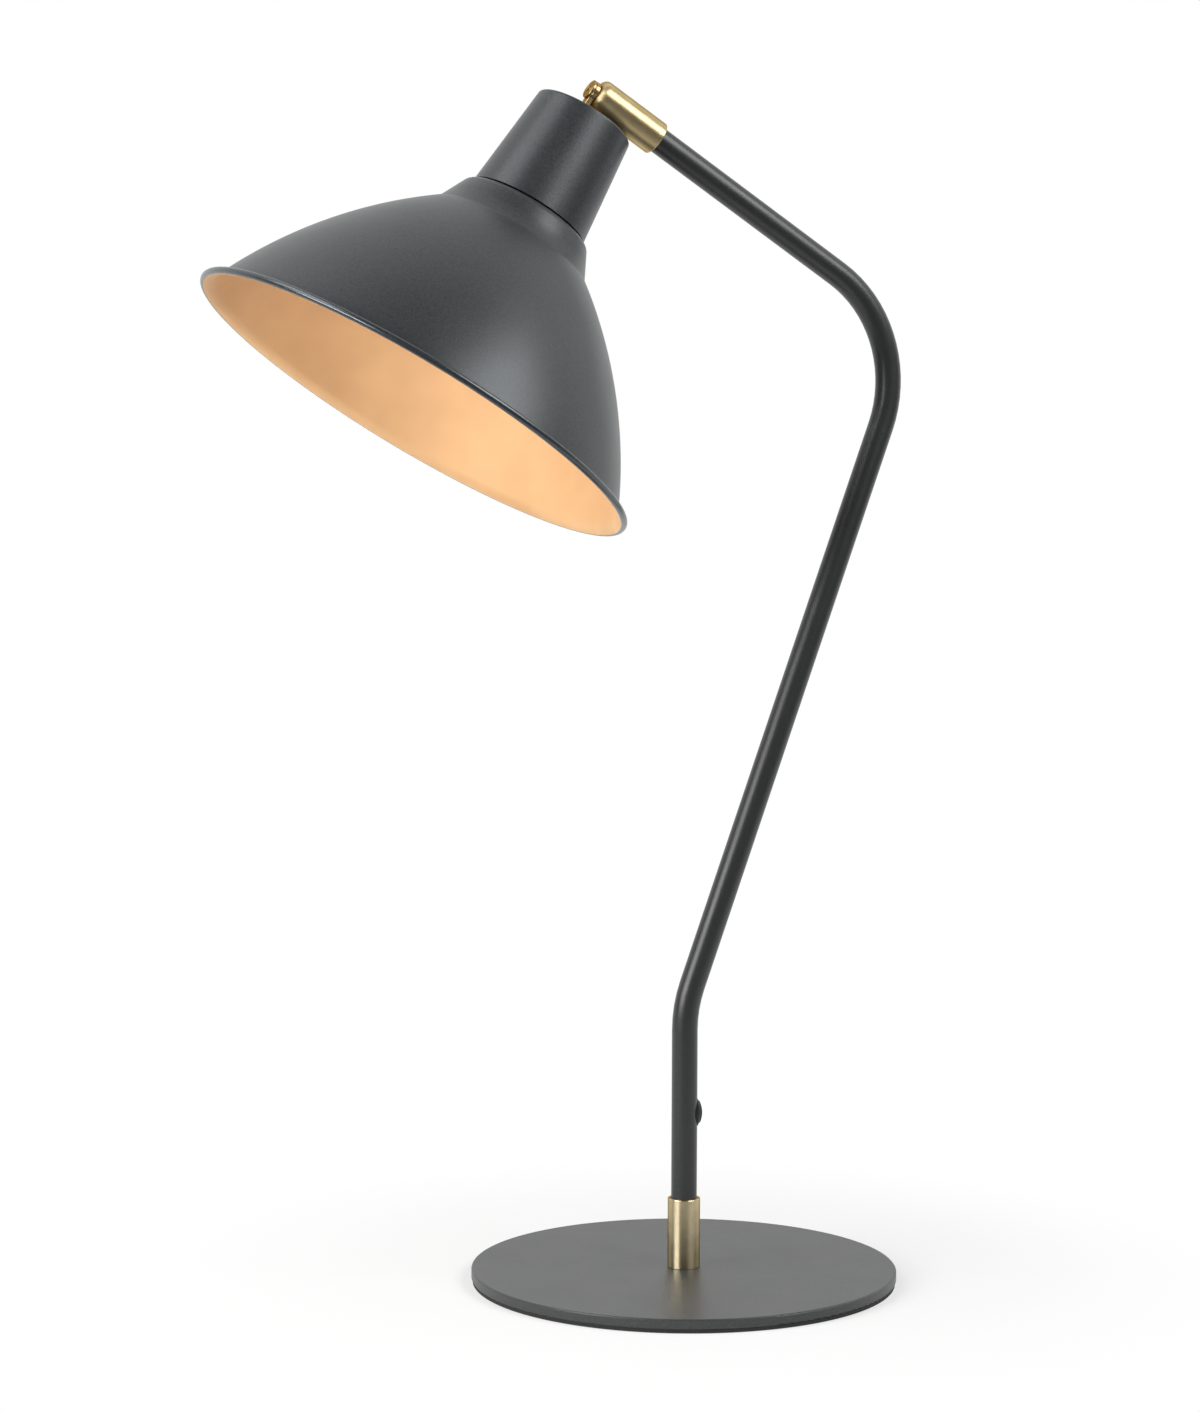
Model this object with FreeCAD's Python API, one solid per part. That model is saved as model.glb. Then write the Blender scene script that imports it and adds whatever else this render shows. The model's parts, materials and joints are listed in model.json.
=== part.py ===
import FreeCAD, Part
import math
import os

# Table lamp with a spun bell shade on a bent tube, in millimetres.
# Origin: centre of the base, on the surface that the lamp stands on. +Z is up.
# The tube bends in the XZ plane: it leans towards +X, and its arm comes back towards -X.

Vector = FreeCAD.Vector
Placement = FreeCAD.Placement
Rotation = FreeCAD.Rotation

ORIGIN = Vector(0, 0, 0)
X_AXIS = Vector(1, 0, 0)
Y_AXIS = Vector(0, 1, 0)
Z_AXIS = Vector(0, 0, 1)

# Base
BASE_DIAMETER = 210.0
BASE_THICKNESS = 5.0
BASE_EDGE_ROUND = 0.8
PAD_THICKNESS = 1.8
PAD_INSET = 0.6
BASE_SCREW_DIAMETER = 6.0
BASE_SCREW_HEAD_DIAMETER = 12.0
BASE_SCREW_GRIP = 8.0
BASE_SCREW_HEX = 4.0
BASE_SCREW_HEX_DEPTH = 2.2

# Stem: lengths run between the corners that the bends round off
TUBE_DIAMETER = 12.7
TUBE_WALL = 1.0
LOWER_RUN = 129.9
SLANT_RUN = 353.8
UPPER_RUN = 207.2
LEAN_ANGLE = 20.4
ARM_RISE = 32.8
BEND_RADIUS = 63.0

# Brass ferrules, one at each end of the tube
LOWER_FERRULE_DIAMETER = 16.0
LOWER_FERRULE_LENGTH = 34.6
UPPER_FERRULE_DIAMETER = 16.7
UPPER_FERRULE_LENGTH = 37.7
FERRULE_FLOOR = 10.0
FERRULE_LIP_ROUND = 0.5
FERRULE_END_ROUND = 3.0
FERRULE_FOOT_ROUND = 0.3
GRUB_DIAMETER = 3.0
GRUB_FROM_LIP = 8.0

# Cord inlet in the back of the lower ferrule
INLET_HEIGHT = 17.0
INLET_BORE = 5.2
BUSH_WALL = 0.9
BUSH_FLANGE_DIAMETER = 9.6
BUSH_FLANGE_HEIGHT = 0.7

# Push switch in the back of the stem
SWITCH_HEIGHT = 77.0
SWITCH_LENGTH = 14.9
SWITCH_WIDTH = 11.0
SWITCH_PROUD = 2.4
BUTTON_LENGTH = 11.2
BUTTON_WIDTH = 7.2
BUTTON_PROUD = 0.35
BUTTON_TRAVEL = 1.2
BUTTON_OVERRUN = 0.3
BUTTON_GAP = 0.15
BEZEL_NECK_WALL = 0.6
SWITCH_BODY_LENGTH = 24.0
SWITCH_BODY_CLEARANCE = 0.35

# Swivel between the arm and the head
EYE_DIAMETER = 9.8
EYE_THICKNESS = 2.8
EYE_ROUND = 0.7
EYE_OFFSET = 3.0
EYE_CHANNEL_DIAMETER = 7.2
EYE_CHANNEL_PLAY = 0.1
SWIVEL_SCREW_DIAMETER = 5.0
SWIVEL_HEAD_DIAMETER = 9.6
SWIVEL_HEAD_HEIGHT = 1.0
SWIVEL_HEAD_ROUND = 0.35
SWIVEL_HEX = 2.5
SWIVEL_HEX_DEPTH = 0.7
FRICTION_WASHER_DIAMETER = 9.2
FRICTION_WASHER_THICKNESS = 0.3
SPRING_WASHER_DIAMETER = 8.8
SPRING_WASHER_THICKNESS = 0.2
LUG_WIDTH = 6.0
LEAD_BORE = 2.0
COLLAR_DIAMETER = 12.0
COLLAR_HEIGHT = 2.5
NIPPLE_DIAMETER = 9.8
NIPPLE_GRIP = 9.0
SWIVEL_TO_CUP = 13.1
LEAD_DIAMETER = 1.6

# Cup above the shade
CUP_TOP_DIAMETER = 49.6
CUP_BOTTOM_DIAMETER = 60.0
CUP_HEIGHT = 53.4
CUP_WALL = 1.0
CUP_TOP_ROUND = 1.4
CUP_TO_SHADE = 0.8
CUP_WASHER_DIAMETER = 22.0
CUP_WASHER_THICKNESS = 1.0
CUP_NUT_WIDTH = 14.0
CUP_NUT_HEIGHT = 4.0

# Shade: a flat top, a short conical shoulder, a shallow dome and a flared, beaded rim
SHADE_SHEET = 0.8
SHADE_DEPTH = 108.7
SHADE_SHOULDER_DIAMETER = 65.1
SHADE_SHOULDER_ROUND = 5.0
SHADE_SHOULDER_HEIGHT = 15.65
SHADE_CREASE_DIAMETER = 80.4
SHADE_RIM_DIAMETER = 231.0
SHADE_BEAD_DIAMETER = 3.4
DOME_BULGE = 6.8
FLARE_HEIGHT = 5.0
FLARE_REACH = 4.8

# Lampholder and bulb
HOLDER_DIAMETER = 41.0
HOLDER_WALL = 2.6
HOLDER_COLLAR_DIAMETER = 18.0
HOLDER_COLLAR_HEIGHT = 6.0
HOLDER_CAP_HEIGHT = 24.0
HOLDER_CAP_ROOF = 8.0
HOLDER_CAP_SLOPE = 5.0
HOLDER_THREAD_LENGTH = 8.0
HOLDER_FLANGE_DIAMETER = 48.0
HOLDER_FLANGE_HEIGHT = 3.0
HOLDER_TAIL_DIAMETER = 39.0
HOLDER_TAIL_LENGTH = 12.0
INSERT_DIAMETER = 31.0
INSERT_HEIGHT = 12.0
SOCKET_BORE = 27.0
SOCKET_SHELL_WALL = 0.4
SOCKET_SHELL_LENGTH = 24.0
SOCKET_CLEARANCE = 0.4
CONTACT_DIAMETER = 8.0
CONTACT_HEIGHT = 1.5
TERMINAL_DIAMETER = 5.0
TERMINAL_HEIGHT = 3.0
TERMINAL_SPACING = 18.0
RING_DIAMETER = 54.0
RING_HEIGHT = 7.0
RING_ROUND = 1.5
RING_GRIPS = 24
RING_GRIP_DIAMETER = 3.4
RING_GRIP_DEPTH = 0.9
BULB_DIAMETER = 45.0
BULB_LENGTH = 75.0
BULB_CAP_DIAMETER = 26.2
BULB_CAP_LENGTH = 25.0
BULB_CAP_WALL = 0.6
BULB_INSULATOR_HEIGHT = 3.5
BULB_INSULATOR_DIAMETER = 15.0
BULB_BUTTON_DIAMETER = 10.0
BULB_BUTTON_HEIGHT = 1.0
BULB_NECK_DIAMETER = 25.0
BULB_NECK_ROUND = 8.0
BULB_GLASS_WALL = 1.0

# Fits
FIT_GAP = 0.05
RUN_GAP = 0.06
FACE_PLAY = 0.03
SAME_PLACE = 0.0001

# Levels and frames that follow from the sizes above
BASE_TOP = PAD_THICKNESS + BASE_THICKNESS
TUBE_RADIUS = TUBE_DIAMETER / 2
BORE_RADIUS = TUBE_RADIUS - TUBE_WALL
SLANT = Vector(math.sin(math.radians(LEAN_ANGLE)), 0, math.cos(math.radians(LEAN_ANGLE)))
ARM = Vector(-math.cos(math.radians(ARM_RISE)), 0, math.sin(math.radians(ARM_RISE)))
LOWER_CORNER = Vector(0, 0, BASE_TOP + LOWER_RUN)
UPPER_CORNER = LOWER_CORNER + SLANT * SLANT_RUN
SWIVEL = UPPER_CORNER + ARM * UPPER_RUN
ARM_FRAME = Placement(SWIVEL, Rotation(Y_AXIS, ARM_RISE - 90))
HEAD_FRAME = Placement(SWIVEL - ARM * EYE_OFFSET, Rotation(Y_AXIS, ARM_RISE))

# Along the arm, from the swivel's centre
EYE_BACK = -EYE_THICKNESS / 2
EYE_FRONT = EYE_THICKNESS / 2
FERRULE_END = EYE_BACK - FACE_PLAY - FRICTION_WASHER_THICKNESS
SCREW_SEAT = EYE_FRONT + FACE_PLAY + SPRING_WASHER_THICKNESS

# Down the head's own axis, from the arm's line
CUP_TOP = -SWIVEL_TO_CUP
CUP_ROOF = CUP_TOP - CUP_WALL
NUT_TOP = CUP_ROOF - CUP_WASHER_THICKNESS
HOLDER_TOP = NUT_TOP - CUP_NUT_HEIGHT
NIPPLE_END = HOLDER_TOP - NIPPLE_GRIP
HOLDER_SPLIT = HOLDER_TOP - HOLDER_CAP_HEIGHT
INSERT_TOP = HOLDER_SPLIT + HOLDER_THREAD_LENGTH
INSERT_SEAT = INSERT_TOP - INSERT_HEIGHT
CUP_FOOT = CUP_TOP - CUP_HEIGHT
SHADE_TOP = CUP_FOOT - CUP_TO_SHADE
MOUTH = SHADE_TOP - SHADE_DEPTH
BULB_TOP = INSERT_SEAT - CONTACT_HEIGHT
BULB_CAP_END = BULB_TOP - BULB_CAP_LENGTH
BULB_TIP = BULB_TOP - BULB_LENGTH

parts = {}


def turned(corners):
    """Solid of revolution about Z from (radius, height) corners."""
    points = [Vector(radius, 0, height) for radius, height in corners]
    face = Part.Face(Part.makePolygon(points + points[:1]))
    return face.revolve(ORIGIN, Z_AXIS, 360)


def ring(outer_diameter, inner_diameter, low, high):
    """Plain ring about Z between two heights."""
    outer = outer_diameter / 2
    inner = inner_diameter / 2
    return turned([(inner, low), (outer, low), (outer, high), (inner, high)])


def rod(diameter, start, end):
    """Round bar between two points."""
    return Part.makeCylinder(diameter / 2, (end - start).Length, start, end - start)


def hexagon(width, low, high):
    """Hexagonal bar about Z, measured across its flats."""
    corner = width / math.sqrt(3)
    turns = [math.radians(60 * i + 30) for i in range(7)]
    points = [Vector(corner * math.cos(a), corner * math.sin(a), low) for a in turns]
    return Part.Face(Part.makePolygon(points)).extrude(Vector(0, 0, high - low))


def oval(length, width, start, end):
    """Elliptical bar along X, tall in Z, between two values of X."""
    ellipse = Part.Ellipse(ORIGIN, length / 2, width / 2)
    bar = Part.Face(Part.Wire(ellipse.toShape())).extrude(Vector(0, 0, end - start))
    bar.rotate(ORIGIN, Y_AXIS, 90)
    bar.translate(Vector(start, 0, 0))
    return bar


def round_rims(shape, size, rims):
    """Round the circular edges about Z that have the given (radius, height)."""
    chosen = []
    for edge in shape.Edges:
        curve = edge.Curve
        if not isinstance(curve, Part.Circle):
            continue
        for radius, height in rims:
            same_radius = abs(curve.Radius - radius) < SAME_PLACE
            if same_radius and abs(curve.Center.z - height) < SAME_PLACE:
                chosen.append(edge)
    return shape.makeFillet(size, chosen)


def bent_path(points, radius):
    """Straight runs between the points, joined by tangent arcs."""
    edges = []
    start = points[0]
    for before, corner, after in zip(points, points[1:], points[2:]):
        back = (before - corner).normalize()
        on = (after - corner).normalize()
        half_turn = (math.pi - back.getAngle(on)) / 2
        reach = radius * math.tan(half_turn)
        inward = (back + on).normalize()
        middle = corner + inward * (radius / math.cos(half_turn) - radius)
        first = corner + back * reach
        last = corner + on * reach
        edges.append(Part.LineSegment(start, first).toShape())
        edges.append(Part.Arc(first, middle, last).toShape())
        start = last
    edges.append(Part.LineSegment(start, points[-1]).toShape())
    return Part.Wire(edges)


def round_sweep(path, diameter):
    """Round bar along a path that starts upwards."""
    circle = Part.Circle(path.OrderedVertexes[0].Point, Z_AXIS, diameter / 2)
    return path.makePipeShell([Part.Wire(circle.toShape())], True, True)


def placed(shape, frame):
    """Copy of a shape built about its own frame, set at its place."""
    copy = shape.copy()
    copy.Placement = frame.multiply(copy.Placement)
    return copy


def base():
    """Painted steel disc, the pad under it and the screw that holds the stem."""
    radius = BASE_DIAMETER / 2
    hole = BASE_SCREW_DIAMETER + 2 * FIT_GAP
    plate = ring(BASE_DIAMETER, hole, PAD_THICKNESS, BASE_TOP)
    plate = round_rims(plate, BASE_EDGE_ROUND, [(radius, PAD_THICKNESS), (radius, BASE_TOP)])
    head_depth = (BASE_SCREW_HEAD_DIAMETER - BASE_SCREW_DIAMETER) / 2
    head_end = PAD_THICKNESS + head_depth
    sink_radius = BASE_SCREW_HEAD_DIAMETER / 2 + FIT_GAP
    sink = Part.makeCone(sink_radius, hole / 2, head_depth, Vector(0, 0, PAD_THICKNESS))
    parts["base_plate"] = plate.cut(sink)
    pad_diameter = BASE_DIAMETER - 2 * PAD_INSET
    parts["base_pad"] = rod(pad_diameter, ORIGIN, Vector(0, 0, PAD_THICKNESS))
    shank = BASE_SCREW_DIAMETER / 2
    screw = turned([
        (0, PAD_THICKNESS),
        (BASE_SCREW_HEAD_DIAMETER / 2, PAD_THICKNESS),
        (shank, head_end),
        (shank, BASE_TOP + BASE_SCREW_GRIP),
        (0, BASE_TOP + BASE_SCREW_GRIP),
    ])
    key = hexagon(BASE_SCREW_HEX, PAD_THICKNESS, PAD_THICKNESS + BASE_SCREW_HEX_DEPTH)
    parts["base_screw"] = screw.cut(key)


def ferrule(diameter, length, screw_diameter, end_round):
    """Turned brass socket: its closed end at height 0, its mouth up."""
    radius = diameter / 2
    bore = TUBE_RADIUS + FIT_GAP
    hole = screw_diameter / 2 + FIT_GAP
    body = turned([
        (hole, 0),
        (radius, 0),
        (radius, length),
        (bore, length),
        (bore, FERRULE_FLOOR),
        (hole, FERRULE_FLOOR),
    ])
    body = round_rims(body, FERRULE_LIP_ROUND, [(radius, length)])
    body = round_rims(body, end_round, [(radius, 0)])
    return body.cut(grub_screw(diameter, length, FIT_GAP))


def grub_screw(diameter, length, clearance=0.0):
    """Set screw through a ferrule of that size and the tube's wall, on the +Y side."""
    height = length - GRUB_FROM_LIP
    inside = Vector(0, BORE_RADIUS, height)
    outside = Vector(0, diameter / 2 - FERRULE_LIP_ROUND, height)
    if clearance:
        outside.y = diameter
    return rod(GRUB_DIAMETER + 2 * clearance, inside, outside)


def stem():
    """Bent tube, its two ferrules, the set screws and the cord inlet."""
    foot_frame = Placement(Vector(0, 0, BASE_TOP), Rotation())
    turn_over = Placement(Vector(0, 0, FERRULE_END), Rotation(Y_AXIS, 180))
    end_frame = ARM_FRAME.multiply(turn_over)
    lower = (LOWER_FERRULE_DIAMETER, LOWER_FERRULE_LENGTH)
    upper = (UPPER_FERRULE_DIAMETER, UPPER_FERRULE_LENGTH)
    sockets = ((lower, foot_frame), (upper, end_frame))

    foot = Vector(0, 0, BASE_TOP + FERRULE_FLOOR)
    tip = SWIVEL + ARM * (FERRULE_END - FERRULE_FLOOR)
    path = bent_path([foot, LOWER_CORNER, UPPER_CORNER, tip], BEND_RADIUS)
    tube = round_sweep(path, TUBE_DIAMETER).cut(round_sweep(path, 2 * BORE_RADIUS))
    for size, frame in sockets:
        tube = tube.cut(placed(grub_screw(*size, FIT_GAP), frame))

    inlet_centre = BASE_TOP + INLET_HEIGHT
    bush_diameter = INLET_BORE + 2 * BUSH_WALL
    inner_end = Vector(0, BORE_RADIUS, inlet_centre)
    flange_end = Vector(0, LOWER_FERRULE_DIAMETER / 2 + BUSH_FLANGE_HEIGHT, inlet_centre)
    beyond = Vector(0, LOWER_FERRULE_DIAMETER, inlet_centre)
    centre = Vector(0, 0, inlet_centre)
    hole = rod(bush_diameter + 2 * FIT_GAP, centre, beyond)
    bush = rod(bush_diameter, inner_end, flange_end)
    flange = rod(BUSH_FLANGE_DIAMETER, centre, flange_end)
    sleeve = rod(LOWER_FERRULE_DIAMETER + 2 * FIT_GAP, Vector(0, 0, BASE_TOP), LOWER_CORNER)
    bush = bush.fuse(flange.cut(sleeve)).cut(rod(INLET_BORE, centre, beyond))
    parts["cord_bush"] = bush.removeSplitter()

    socket = placed(ferrule(*lower, BASE_SCREW_DIAMETER, FERRULE_FOOT_ROUND), foot_frame)
    parts["lower_ferrule"] = socket.cut(hole)
    parts["upper_ferrule"] = placed(ferrule(*upper, SWIVEL_SCREW_DIAMETER, FERRULE_END_ROUND), end_frame)
    parts["stem_tube"] = tube.cut(hole).cut(switch_hole())
    grubs = [placed(grub_screw(*size), frame) for size, frame in sockets]
    parts["ferrule_grub_screws"] = Part.makeCompound(grubs)


def switch_dome(extra):
    """Barrel form of the switch: a lens from the side, as round as its width from above."""
    half_length = SWITCH_LENGTH / 2
    middle = SWITCH_WIDTH / 2 + extra
    end = middle - SWITCH_PROUD
    arc = Part.Arc(Vector(end, 0, -half_length), Vector(middle, 0, 0), Vector(end, 0, half_length))
    low = Vector(0, 0, -half_length)
    high = Vector(0, 0, half_length)
    sides = [
        Part.LineSegment(low, Vector(end, 0, -half_length)).toShape(),
        arc.toShape(),
        Part.LineSegment(Vector(end, 0, half_length), high).toShape(),
        Part.LineSegment(high, low).toShape(),
    ]
    barrel = Part.Face(Part.Wire(sides)).revolve(ORIGIN, Z_AXIS, 360)
    barrel.translate(Vector(TUBE_RADIUS + SWITCH_PROUD - SWITCH_WIDTH / 2, 0, 0))
    return barrel


def neck_oval(start, end, clearance=0.0):
    """Oval neck of the bezel, which passes through the tube's wall."""
    around = 2 * (BUTTON_GAP + BEZEL_NECK_WALL + clearance)
    return oval(BUTTON_LENGTH + around, BUTTON_WIDTH + around, start, end)


def switch_face():
    """X of the flat front of the switch's body, as wide as the bezel's neck needs."""
    body_radius = BORE_RADIUS - SWITCH_BODY_CLEARANCE
    seat = BUTTON_WIDTH / 2 + BUTTON_GAP + BEZEL_NECK_WALL + FIT_GAP
    return math.sqrt(body_radius ** 2 - seat ** 2)


def switch_hole():
    """Oval hole for the switch in the stem."""
    hole = neck_oval(0, TUBE_DIAMETER, FIT_GAP)
    hole.translate(Vector(0, 0, BASE_TOP + SWITCH_HEIGHT))
    return hole


def switch():
    """Push switch: body inside the tube, domed bezel and a button that slides along X."""
    level = Vector(0, 0, BASE_TOP + SWITCH_HEIGHT)
    half_body = SWITCH_BODY_LENGTH / 2
    face = switch_face()
    body = Part.makeCylinder(
        BORE_RADIUS - SWITCH_BODY_CLEARANCE, SWITCH_BODY_LENGTH, Vector(0, 0, -half_body))
    front = Part.makeBox(
        TUBE_DIAMETER, TUBE_DIAMETER, SWITCH_BODY_LENGTH,
        Vector(face, -TUBE_RADIUS, -half_body))
    outside = TUBE_RADIUS + 2 * SWITCH_PROUD
    tube = Part.makeCylinder(TUBE_RADIUS + FIT_GAP, SWITCH_LENGTH, Vector(0, 0, -SWITCH_LENGTH / 2))
    dome = switch_dome(0).cut(tube)
    around = 2 * BUTTON_GAP
    opening = oval(BUTTON_LENGTH + around, BUTTON_WIDTH + around, face, outside)
    neck = neck_oval(face, outside).common(switch_dome(0))
    bezel = dome.fuse(neck).cut(opening)
    button_back = face + BUTTON_TRAVEL + BUTTON_OVERRUN
    button = oval(BUTTON_LENGTH, BUTTON_WIDTH, button_back, outside)
    button = button.common(switch_dome(BUTTON_PROUD))
    solids = {
        "switch_body": body.cut(front),
        "switch_bezel": bezel.removeSplitter(),
        "switch_button": button,
    }
    for name, solid in solids.items():
        solid.translate(level)
        parts[name] = solid


def swivel():
    """Hollow eye on a hollow screw: the head turns about the arm's own line."""
    screw_radius = SWIVEL_SCREW_DIAMETER / 2
    head_radius = SWIVEL_HEAD_DIAMETER / 2
    screw_start = FERRULE_END - FERRULE_FLOOR
    head_top = SCREW_SEAT + SWIVEL_HEAD_HEIGHT
    screw = turned([
        (0, screw_start),
        (screw_radius, screw_start),
        (screw_radius, SCREW_SEAT),
        (head_radius, SCREW_SEAT),
        (head_radius, head_top),
        (0, head_top),
    ])
    screw = round_rims(screw, SWIVEL_HEAD_ROUND, [(head_radius, head_top)])
    way_in = rod(LEAD_BORE, Vector(0, 0, screw_start), ORIGIN)
    way_down = rod(LEAD_BORE, ORIGIN, Vector(-EYE_DIAMETER, 0, 0))
    screw = screw.cut(way_in).cut(way_down)
    screw = screw.cut(hexagon(SWIVEL_HEX, head_top - SWIVEL_HEX_DEPTH, head_top))
    parts["swivel_screw"] = placed(screw, ARM_FRAME)

    washer_bore = SWIVEL_SCREW_DIAMETER + 2 * FIT_GAP
    friction = ring(
        FRICTION_WASHER_DIAMETER, washer_bore, FERRULE_END, FERRULE_END + FRICTION_WASHER_THICKNESS)
    spring = ring(
        SPRING_WASHER_DIAMETER, washer_bore, SCREW_SEAT - SPRING_WASHER_THICKNESS, SCREW_SEAT)
    parts["friction_washer"] = placed(friction, ARM_FRAME)
    parts["spring_washer"] = placed(spring, ARM_FRAME)

    eye_radius = EYE_DIAMETER / 2
    eye = turned([(0, EYE_BACK), (eye_radius, EYE_BACK), (eye_radius, EYE_FRONT), (0, EYE_FRONT)])
    eye = round_rims(eye, EYE_ROUND, [(eye_radius, EYE_BACK), (eye_radius, EYE_FRONT)])
    bore = rod(SWIVEL_SCREW_DIAMETER + 2 * RUN_GAP, Vector(0, 0, EYE_BACK), Vector(0, 0, EYE_FRONT))
    half_channel = LEAD_BORE / 2 + EYE_CHANNEL_PLAY
    channel = rod(EYE_CHANNEL_DIAMETER, Vector(0, 0, -half_channel), Vector(0, 0, half_channel))
    ahead = Vector(-EYE_OFFSET, 0, 0)
    lay_along_x = Placement(ahead, Rotation(Y_AXIS, 90))
    eye = placed(eye, lay_along_x)
    bore = placed(bore.fuse(channel), lay_along_x)
    collar_top = CUP_TOP + COLLAR_HEIGHT
    lug = Part.makeBox(
        EYE_THICKNESS, LUG_WIDTH, -collar_top, Vector(EYE_BACK, -LUG_WIDTH / 2, collar_top) + ahead)
    upright = [edge for edge in lug.Edges if abs(edge.tangentAt(0).z) > 0.5]
    lug = lug.makeFillet(EYE_ROUND, upright)
    collar = rod(COLLAR_DIAMETER, Vector(0, 0, CUP_TOP), Vector(0, 0, collar_top))
    nipple = rod(NIPPLE_DIAMETER, Vector(0, 0, NIPPLE_END), Vector(0, 0, CUP_TOP))
    lead_way = rod(LEAD_BORE, Vector(0, 0, NIPPLE_END) + ahead, ahead)
    eye = eye.fuse([lug, collar, nipple]).cut(bore).cut(lead_way)
    parts["swivel_eye"] = placed(eye.removeSplitter(), HEAD_FRAME)


def cup():
    """Tapered spun cup that hides the lampholder, with the washer and nut in its roof."""
    top = CUP_TOP_DIAMETER / 2
    bottom = CUP_BOTTOM_DIAMETER / 2
    hole = NIPPLE_DIAMETER / 2 + FIT_GAP
    outside = turned([(0, CUP_FOOT), (bottom, CUP_FOOT), (top, CUP_TOP), (0, CUP_TOP)])
    outside = round_rims(outside, CUP_TOP_ROUND, [(top, CUP_TOP)])
    inside = turned([
        (0, CUP_FOOT), (bottom - CUP_WALL, CUP_FOOT), (top - CUP_WALL, CUP_ROOF), (0, CUP_ROOF)])
    way = rod(2 * hole, Vector(0, 0, CUP_ROOF), Vector(0, 0, CUP_TOP))
    parts["cup"] = placed(outside.cut(inside).cut(way), HEAD_FRAME)
    washer = ring(CUP_WASHER_DIAMETER, 2 * hole, NUT_TOP, CUP_ROOF)
    parts["cup_washer"] = placed(washer, HEAD_FRAME)
    nut = hexagon(CUP_NUT_WIDTH, HOLDER_TOP, NUT_TOP)
    nut = nut.cut(rod(2 * hole, Vector(0, 0, HOLDER_TOP), Vector(0, 0, NUT_TOP)))
    parts["cup_nut"] = placed(nut, HEAD_FRAME)


def circle_centre(first, middle, last):
    """Centre of the circle through three points of a profile."""
    return Part.Arc(first, middle, last).toShape().Curve.Center


def toward(point, centre, distance):
    """Point moved towards a centre by a distance."""
    return point + (centre - point).normalize() * distance


def dome_profile():
    """Points of the shade's outer side, from the crease to the middle of the bead, in the XZ plane."""
    crease = Vector(SHADE_CREASE_DIAMETER / 2, 0, SHADE_TOP - SHADE_SHOULDER_HEIGHT)
    bead = Vector((SHADE_RIM_DIAMETER - SHADE_BEAD_DIAMETER) / 2, 0, MOUTH + SHADE_BEAD_DIAMETER / 2)
    flare = Vector(bead.x - FLARE_REACH, 0, MOUTH + FLARE_HEIGHT)
    chord = flare - crease
    outward = Vector(-chord.z, 0, chord.x).normalize()
    belly = (crease + flare) * 0.5 + outward * DOME_BULGE
    return crease, belly, flare, bead


def lip_circle(start, centre, bead, inset):
    """Centre and radius of the lip, which carries on smoothly from a circle about centre.

    The lip passes the middle of the bead at a distance of inset, on the bead's inner side.
    """
    spoke = (start - centre).normalize()
    way = bead - start
    radius = (way.dot(way) - inset ** 2) / (2 * (way.dot(spoke) - inset))
    return start + spoke * radius, radius


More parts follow.
